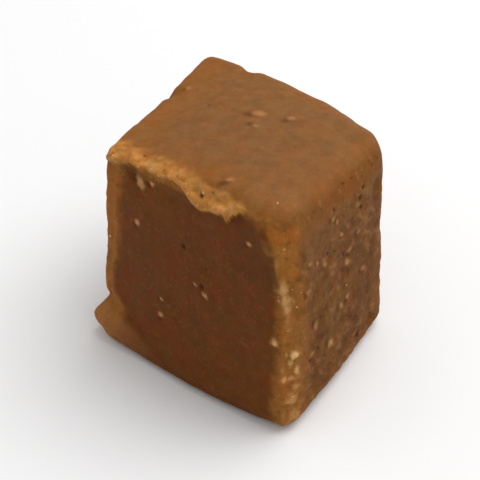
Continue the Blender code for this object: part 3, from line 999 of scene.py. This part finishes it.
def fudge_material():
    """Brown fudge: dark where the knife cut it, orange where it is worn, paler where it is torn or milky,
    lightened by painted highlights and darkened by painted shade.
    """
    nodes = Nodes("fudge")
    torn = nodes.attribute("torn")
    glow = nodes.attribute("glow")
    broad = nodes.noise(4.5, detail=3.0)
    hue = nodes.noise(2.2, detail=3.0, roughness=0.6, drift=8.0)
    specks = nodes.between(nodes.noise(0.42, detail=1.0, drift=10.0), 0.58, 0.70)
    dark_specks = nodes.between(nodes.noise(0.5, detail=1.0, drift=12.0), 0.58, 0.72)
    patchy = nodes.noise(1.1, detail=3.0, drift=2.0)
    fine = nodes.noise(0.28, detail=3.0, roughness=0.65, drift=4.0)
    grain = nodes.noise(0.1, drift=6.0)
    cut_hue = nodes.noise(1.2, detail=3.0, drift=14.0)

    colour = nodes.mix(nodes.between(broad, 0.42, 0.66), PLAIN, BLOOM)
    milky = nodes.math("MULTIPLY", nodes.attribute("milky"), nodes.between(patchy, 0.2, 0.6, 0.88, 1.0))
    colour = nodes.mix(milky, colour, MILKY)
    worn = nodes.math("MULTIPLY", nodes.attribute("worn"), nodes.between(patchy, 0.3, 0.7, 1.0, 0.6))
    colour = nodes.mix(worn, colour, WORN)
    colour = nodes.mix(glow, colour, GLOW)
    wobble = nodes.between(fine, 0.3, 0.7, -0.15, 0.15)
    cut = nodes.between(nodes.math("ADD", nodes.attribute("cut"), wobble), CUT_BEGINS, CUT_FULL)
    cut_tint = nodes.mix(nodes.between(cut_hue, 0.36, 0.64), CUT_RED, CUT_OLIVE)
    colour = nodes.mix(cut, colour, nodes.tinted(CUT, cut_tint))
    # Pale crumbs, with painted highlights on the lip's bulges and the cut's rim.
    crumb = nodes.mix(nodes.attribute("pale"), TORN, PALE_CRUMB)
    torn_fleck = nodes.math("MULTIPLY", torn, nodes.between(fine, 0.2, 0.55, 0.85, 1.0))
    colour = nodes.mix(torn_fleck, colour, crumb)

    covered = nodes.math("MAXIMUM", nodes.math("MAXIMUM", nodes.attribute("milky"), cut), torn)
    plain = nodes.math("SUBTRACT", 1.0, covered, clamp=True)
    speck = nodes.math("MULTIPLY", specks, nodes.between(plain, 0.2, 0.9, 0.05, 0.15))
    dark_speck = nodes.math("MULTIPLY", dark_specks, nodes.between(plain, 0.2, 0.9, 0.08, 0.25))
    # Pale marks and specks, with the painted highlights that share the mark attribute.
    colour = nodes.mix(nodes.math("MAXIMUM", nodes.attribute("mark"), speck), colour, MARK)
    colour = nodes.tinted(colour, nodes.mix(nodes.between(hue, 0.35, 0.65), RED_TINT, OLIVE_TINT))

    mottle = nodes.between(patchy, 0.3, 0.7, 0.92, 1.08)
    speckle = nodes.between(fine, 0.25, 0.75, 0.9, 1.1)
    for amount in (mottle, speckle, nodes.math("SUBTRACT", 1.0, dark_speck)):
        colour = nodes.scaled(colour, amount)
    # Painted shade in pits, gaps and hollows and under the lip.
    colour = nodes.mix(nodes.math("MULTIPLY", nodes.attribute("painted_shade"), 0.85), colour, PAINTED_SHADE_COLOUR)

    rough = nodes.between(glow, 0.0, 1.0, 0.66, 0.42)
    rough = nodes.math("MULTIPLY_ADD", cut, -0.14, rough)
    rough = nodes.math("MULTIPLY_ADD", torn, 0.16, rough)
    rough = nodes.math("ADD", rough, nodes.between(fine, 0.2, 0.8, -0.08, 0.08))
    crumbly = nodes.math("MULTIPLY", fine, nodes.between(torn, 0.0, 1.0, 0.35, 0.9))
    height = nodes.math("ADD", crumbly, nodes.math("MULTIPLY", grain, 0.35))
    nodes.shade(
        base_color=colour,
        roughness=rough,
        ior=1.45,
        specular_ior_level=0.06,
        subsurface_weight=0.2,
        subsurface_radius=(1.0, 0.42, 0.16),
        subsurface_scale=1.1 * MM,
        normal=nodes.bump(height, 0.07),
    )
    return nodes.material


def sugar_material():
    nodes = Nodes("sugar")
    tint = nodes.noise(1.1, detail=1.0)
    nodes.shade(
        base_color=nodes.scaled(SUGAR, nodes.between(tint, 0.3, 0.7, 0.6, 1.15)),
        roughness=0.7,
        ior=1.5,
        specular_ior_level=0.12,
        subsurface_weight=0.3,
        subsurface_scale=0.3 * MM,
        normal=nodes.bump(nodes.noise(0.08), 0.02),
    )
    return nodes.material


def crumb_material():
    nodes = Nodes("crumb")
    nodes.shade(
        base_color=nodes.mix(nodes.between(nodes.noise(0.9), 0.35, 0.65), WORN, PALE_CRUMB),
        roughness=0.75,
        ior=1.45,
        specular_ior_level=0.12,
        normal=nodes.bump(nodes.noise(0.15, detail=3.0), 0.05),
    )
    return nodes.material


def floor_material():
    nodes = Nodes("pale_floor")
    nodes.shade(base_color=FLOOR, roughness=0.9)
    return nodes.material


def key_light():
    """A large soft light above and behind the right side."""
    data = bpy.data.lights.new("key", "AREA")
    data.shape = "DISK"
    data.size = KEY_SIZE
    data.energy = KEY_POWER
    light = bpy.data.objects.new("key", data)
    light.location = KEY_PLACE
    light.rotation_euler = (Vector(KEY_TARGET) - Vector(KEY_PLACE)).to_track_quat("-Z", "Y").to_euler()
    bpy.context.scene.collection.objects.link(light)


def studio():
    """A pale floor, and soft light from all round."""
    world = bpy.data.worlds.new("studio")
    bpy.context.scene.world = world
    world.use_nodes = True
    background = world.node_tree.nodes["Background"]
    background.inputs["Color"].default_value = (1.0, 1.0, 1.0, 1.0)
    background.inputs["Strength"].default_value = SKY_STRENGTH
    key_light()
    bpy.context.scene.view_settings.view_transform = "Standard"
    mesh = bpy.data.meshes.new("floor")
    plate = bmesh.new()
    bmesh.ops.create_circle(plate, cap_ends=True, segments=96, radius=FLOOR_RADIUS)
    plate.to_mesh(mesh)
    plate.free()
    add_piece("floor", mesh, floor_material())


def camera(shift):
    data = bpy.data.cameras.new("camera")
    data.lens = LENS
    data.sensor_width = SENSOR_WIDTH
    data.clip_start = 0.005
    data.clip_end = 10.0
    back = np.array([
        math.sin(AZIMUTH) * math.cos(ELEVATION),
        -math.cos(AZIMUTH) * math.cos(ELEVATION),
        math.sin(ELEVATION),
    ])
    view = bpy.data.objects.new("camera", data)
    view.location = (AIM + shift + back * DISTANCE) * MM
    view.rotation_euler = Vector(-back).to_track_quat("-Z", "Y").to_euler()
    bpy.context.scene.collection.objects.link(view)
    bpy.context.scene.camera = view


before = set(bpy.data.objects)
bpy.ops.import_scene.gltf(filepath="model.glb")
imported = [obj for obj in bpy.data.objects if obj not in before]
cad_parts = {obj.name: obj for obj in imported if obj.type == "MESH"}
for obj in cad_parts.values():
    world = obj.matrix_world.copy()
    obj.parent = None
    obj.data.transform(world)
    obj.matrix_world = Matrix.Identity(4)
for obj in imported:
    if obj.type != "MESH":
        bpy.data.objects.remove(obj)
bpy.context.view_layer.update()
candy, finish_and_painted_light, shift = candy_piece()
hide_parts("caramel")

sugar = scattered("sugar_grains", candy.data, sugar_density(finish_and_painted_light), sugar_material(), **SUGAR_GRAINS)
crumbs = scattered("fudge_crumbs", candy.data, crumb_density(finish_and_painted_light), crumb_material(), **FUDGE_CRUMBS)
for piece in (candy, sugar, crumbs):
    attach(piece, "root")
studio()
camera(shift)
